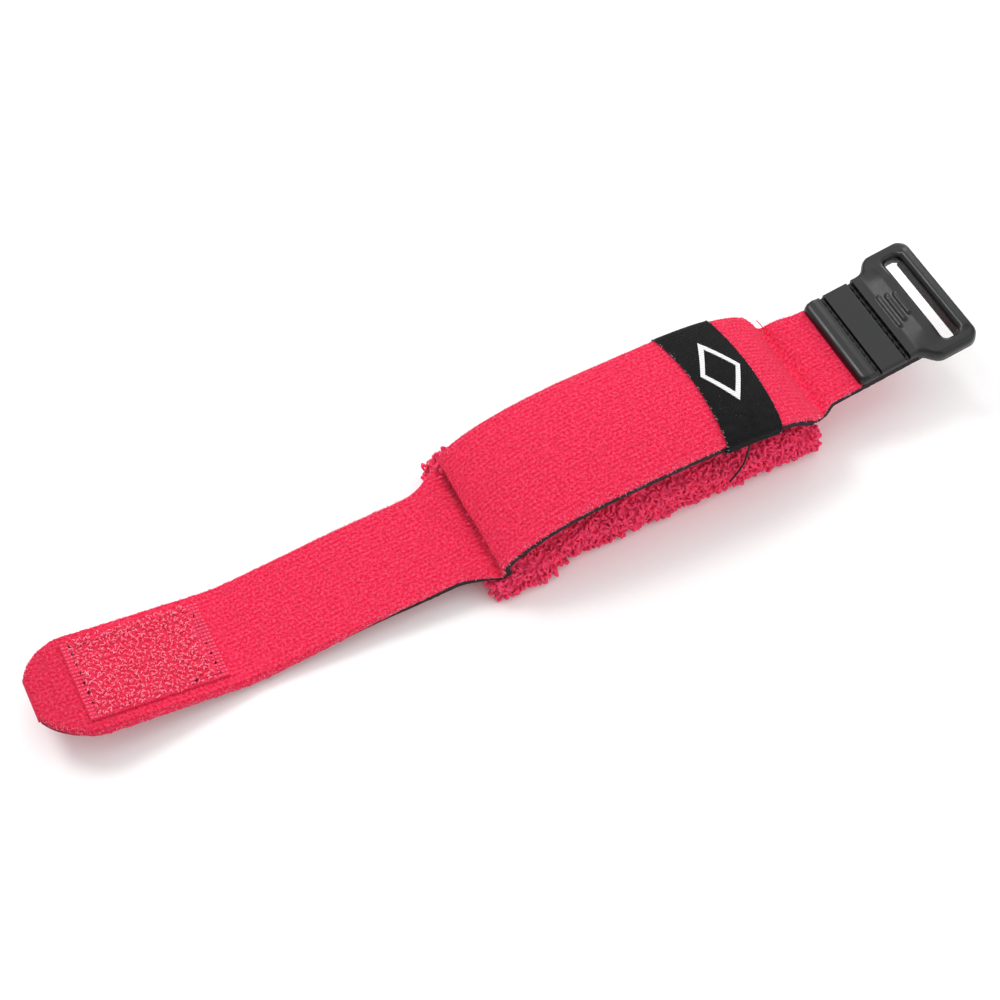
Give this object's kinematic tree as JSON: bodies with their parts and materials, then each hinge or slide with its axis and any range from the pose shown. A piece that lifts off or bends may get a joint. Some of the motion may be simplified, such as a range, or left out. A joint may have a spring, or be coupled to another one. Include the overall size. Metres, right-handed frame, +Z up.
{
  "type": "padded wrap strap",
  "caption": "Flexible foam-laminated knit strap arched over a terry pad, with a folded label, a hook patch on the tail and a moulded slot buckle.",
  "frame": {"origin": "centre of the terry pad's flat underside", "axes": "+X along the strap from the hook tail towards the buckle, +Z up out of the knit face, +Y across the strap"},
  "size_m": [0.2269, 0.0368, 0.0225],
  "materials": {
    "knit_face": "brushed knit",
    "foam_core": "matte",
    "knit_lining": "plain knit",
    "terry_cloth": "looped pile",
    "pad_foam": "matte",
    "pink_thread": "twisted thread",
    "label_satin": "satin weave",
    "white_yarn": "woven yarn",
    "black_thread": "twisted thread",
    "hook_tape_ground": "woven tape",
    "hook_monofilament": "translucent monofilament",
    "moulded_plastic": "satin moulded"
  },
  "bodies": {
    "middle": {"middle_face": "knit_face", "middle_foam": "foam_core", "middle_lining": "knit_lining", "terry_cover": "terry_cloth", "pad_core": "pad_foam", "tail_seam_thread": "pink_thread", "buckle_seam_thread": "pink_thread", "woven_label": "label_satin", "label_motif": "white_yarn", "label_thread_end": "black_thread"},
    "tail_inner": {"tail_inner_face": "knit_face", "tail_inner_foam": "foam_core", "tail_inner_lining": "knit_lining"},
    "tail_outer": {"tail_outer_face": "knit_face", "tail_outer_foam": "foam_core", "tail_outer_lining": "knit_lining"},
    "tip": {"tip_face": "knit_face", "tip_foam": "foam_core", "tip_lining": "knit_lining", "hook_tape": "hook_tape_ground", "hook_field": "hook_monofilament", "hook_tape_thread": "pink_thread"},
    "buckle_end": {"buckle_end_face": "knit_face", "buckle_end_foam": "foam_core", "buckle_end_lining": "knit_lining", "slot_buckle": "moulded_plastic", "buckle_thread_inner": "black_thread", "buckle_thread_outer": "black_thread"}
  },
  "joints": [
    {"name": "tail_bend", "type": "hinge", "parent": "middle", "child": "tail_inner", "pos_m": [-0.046, 0, 0.00615], "axis": [0, -1, 0], "range_deg": [-50, 75]},
    {"name": "tail_curl", "type": "hinge", "parent": "tail_inner", "child": "tail_outer", "pos_m": [-0.072, 0, 0.0028], "axis": [0, -1, 0], "range_deg": [0, 75]},
    {"name": "tip_fold", "type": "hinge", "parent": "tail_outer", "child": "tip", "pos_m": [-0.098, 0, 0.00455], "axis": [0, 1, 0], "range_deg": [0, 160]},
    {"name": "buckle_bend", "type": "hinge", "parent": "middle", "child": "buckle_end", "pos_m": [0.0475, 0, 0.01235], "axis": [0, 1, 0], "range_deg": [-50, 50]}
  ]
}
